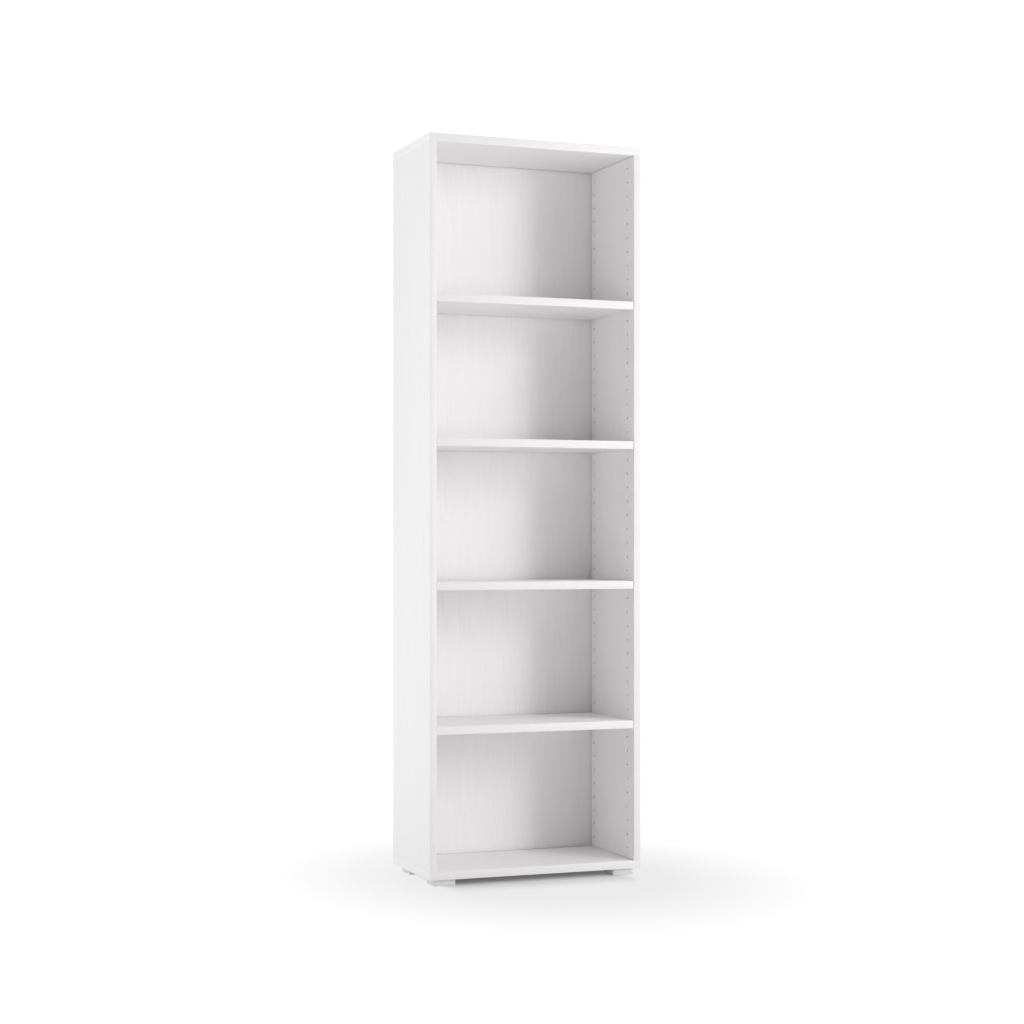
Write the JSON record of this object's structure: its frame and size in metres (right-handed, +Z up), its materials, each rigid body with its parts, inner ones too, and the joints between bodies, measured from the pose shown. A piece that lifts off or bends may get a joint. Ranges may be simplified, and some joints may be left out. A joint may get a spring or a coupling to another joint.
{
  "type": "bookcase with adjustable shelves",
  "caption": "Tall narrow open bookcase in white wood-grain board: loose shelves on concealed pins in rows of holes, thin back panel and low pad feet.",
  "frame": {"origin": "on the floor, under the middle of the case", "axes": "+Z up; the open front faces -Y; +X to the right seen from the front"},
  "size_m": [0.51, 0.264, 1.667],
  "materials": {
    "white_board": "white melamine faced board with a fine embossed ash grain, matt",
    "back_board": "white faced thin fibreboard with a fine vertical grain, matt",
    "pin_steel": "nickel-plated steel, satin",
    "screw_steel": "zinc-plated steel, satin",
    "foot_plastic": "light grey moulded plastic, fine texture",
    "cap_plastic": "white moulded plastic, smooth",
    "dowel_wood": "bare beech"
  },
  "bodies": {
    "case": {"left_side_panel": "white_board", "right_side_panel": "white_board", "top_panel": "white_board", "bottom_panel": "white_board", "back_panel": "back_board", "corner_screw_top_front_left": "screw_steel", "corner_screw_top_front_right": "screw_steel", "corner_screw_top_rear_left": "screw_steel", "corner_screw_top_rear_right": "screw_steel", "corner_screw_bottom_front_left": "screw_steel", "corner_screw_bottom_front_right": "screw_steel", "corner_screw_bottom_rear_left": "screw_steel", "corner_screw_bottom_rear_right": "screw_steel", "dowel_top_left": "dowel_wood", "dowel_top_right": "dowel_wood", "dowel_bottom_left": "dowel_wood", "dowel_bottom_right": "dowel_wood", "screw_cap_front_left": "cap_plastic", "screw_cap_front_right": "cap_plastic", "screw_cap_rear_left": "cap_plastic", "screw_cap_rear_right": "cap_plastic", "foot_front_left": "foot_plastic", "foot_front_right": "foot_plastic", "foot_rear_left": "foot_plastic", "foot_rear_right": "foot_plastic", "foot_screw_front_left_outer": "screw_steel", "foot_screw_front_left_inner": "screw_steel", "foot_screw_front_right_outer": "screw_steel", "foot_screw_front_right_inner": "screw_steel", "foot_screw_rear_left_outer": "screw_steel", "foot_screw_rear_left_inner": "screw_steel", "foot_screw_rear_right_outer": "screw_steel", "foot_screw_rear_right_inner": "screw_steel"},
    "shelf_1": {"shelf_1": "white_board"},
    "shelf_2": {"shelf_2": "white_board"},
    "shelf_3": {"shelf_3": "white_board"},
    "shelf_4": {"shelf_4": "white_board"},
    "shelf_1_pin_front_left": {"shelf_1_pin_front_left": "pin_steel"},
    "shelf_1_pin_front_right": {"shelf_1_pin_front_right": "pin_steel"},
    "shelf_1_pin_rear_left": {"shelf_1_pin_rear_left": "pin_steel"},
    "shelf_1_pin_rear_right": {"shelf_1_pin_rear_right": "pin_steel"},
    "shelf_2_pin_front_left": {"shelf_2_pin_front_left": "pin_steel"},
    "shelf_2_pin_front_right": {"shelf_2_pin_front_right": "pin_steel"},
    "shelf_2_pin_rear_left": {"shelf_2_pin_rear_left": "pin_steel"},
    "shelf_2_pin_rear_right": {"shelf_2_pin_rear_right": "pin_steel"},
    "shelf_3_pin_front_left": {"shelf_3_pin_front_left": "pin_steel"},
    "shelf_3_pin_front_right": {"shelf_3_pin_front_right": "pin_steel"},
    "shelf_3_pin_rear_left": {"shelf_3_pin_rear_left": "pin_steel"},
    "shelf_3_pin_rear_right": {"shelf_3_pin_rear_right": "pin_steel"},
    "shelf_4_pin_front_left": {"shelf_4_pin_front_left": "pin_steel"},
    "shelf_4_pin_front_right": {"shelf_4_pin_front_right": "pin_steel"},
    "shelf_4_pin_rear_left": {"shelf_4_pin_rear_left": "pin_steel"},
    "shelf_4_pin_rear_right": {"shelf_4_pin_rear_right": "pin_steel"}
  },
  "joints": [
    {"name": "shelf_1_lift", "type": "slide", "parent": "case", "child": "shelf_1", "axis": [0, 0, 1], "range_m": [0, 0.333]},
    {"name": "shelf_2_lift", "type": "slide", "parent": "case", "child": "shelf_2", "axis": [0, 0, 1], "range_m": [0, 0.3]},
    {"name": "shelf_3_lift", "type": "slide", "parent": "case", "child": "shelf_3", "axis": [0, 0, 1], "range_m": [0, 0.3]},
    {"name": "shelf_4_lift", "type": "slide", "parent": "case", "child": "shelf_4", "axis": [0, 0, 1], "range_m": [0, 0.3]},
    {"name": "shelf_1_pin_front_left_pull", "type": "slide", "parent": "case", "child": "shelf_1_pin_front_left", "axis": [1, 0, 0], "range_m": [0, 0.009]},
    {"name": "shelf_1_pin_front_right_pull", "type": "slide", "parent": "case", "child": "shelf_1_pin_front_right", "axis": [-1, 0, 0], "range_m": [0, 0.009]},
    {"name": "shelf_1_pin_rear_left_pull", "type": "slide", "parent": "case", "child": "shelf_1_pin_rear_left", "axis": [1, 0, 0], "range_m": [0, 0.009]},
    {"name": "shelf_1_pin_rear_right_pull", "type": "slide", "parent": "case", "child": "shelf_1_pin_rear_right", "axis": [-1, 0, 0], "range_m": [0, 0.009]},
    {"name": "shelf_2_pin_front_left_pull", "type": "slide", "parent": "case", "child": "shelf_2_pin_front_left", "axis": [1, 0, 0], "range_m": [0, 0.009]},
    {"name": "shelf_2_pin_front_right_pull", "type": "slide", "parent": "case", "child": "shelf_2_pin_front_right", "axis": [-1, 0, 0], "range_m": [0, 0.009]},
    {"name": "shelf_2_pin_rear_left_pull", "type": "slide", "parent": "case", "child": "shelf_2_pin_rear_left", "axis": [1, 0, 0], "range_m": [0, 0.009]},
    {"name": "shelf_2_pin_rear_right_pull", "type": "slide", "parent": "case", "child": "shelf_2_pin_rear_right", "axis": [-1, 0, 0], "range_m": [0, 0.009]},
    {"name": "shelf_3_pin_front_left_pull", "type": "slide", "parent": "case", "child": "shelf_3_pin_front_left", "axis": [1, 0, 0], "range_m": [0, 0.009]},
    {"name": "shelf_3_pin_front_right_pull", "type": "slide", "parent": "case", "child": "shelf_3_pin_front_right", "axis": [-1, 0, 0], "range_m": [0, 0.009]},
    {"name": "shelf_3_pin_rear_left_pull", "type": "slide", "parent": "case", "child": "shelf_3_pin_rear_left", "axis": [1, 0, 0], "range_m": [0, 0.009]},
    {"name": "shelf_3_pin_rear_right_pull", "type": "slide", "parent": "case", "child": "shelf_3_pin_rear_right", "axis": [-1, 0, 0], "range_m": [0, 0.009]},
    {"name": "shelf_4_pin_front_left_pull", "type": "slide", "parent": "case", "child": "shelf_4_pin_front_left", "axis": [1, 0, 0], "range_m": [0, 0.009]},
    {"name": "shelf_4_pin_front_right_pull", "type": "slide", "parent": "case", "child": "shelf_4_pin_front_right", "axis": [-1, 0, 0], "range_m": [0, 0.009]},
    {"name": "shelf_4_pin_rear_left_pull", "type": "slide", "parent": "case", "child": "shelf_4_pin_rear_left", "axis": [1, 0, 0], "range_m": [0, 0.009]},
    {"name": "shelf_4_pin_rear_right_pull", "type": "slide", "parent": "case", "child": "shelf_4_pin_rear_right", "axis": [-1, 0, 0], "range_m": [0, 0.009]}
  ]
}
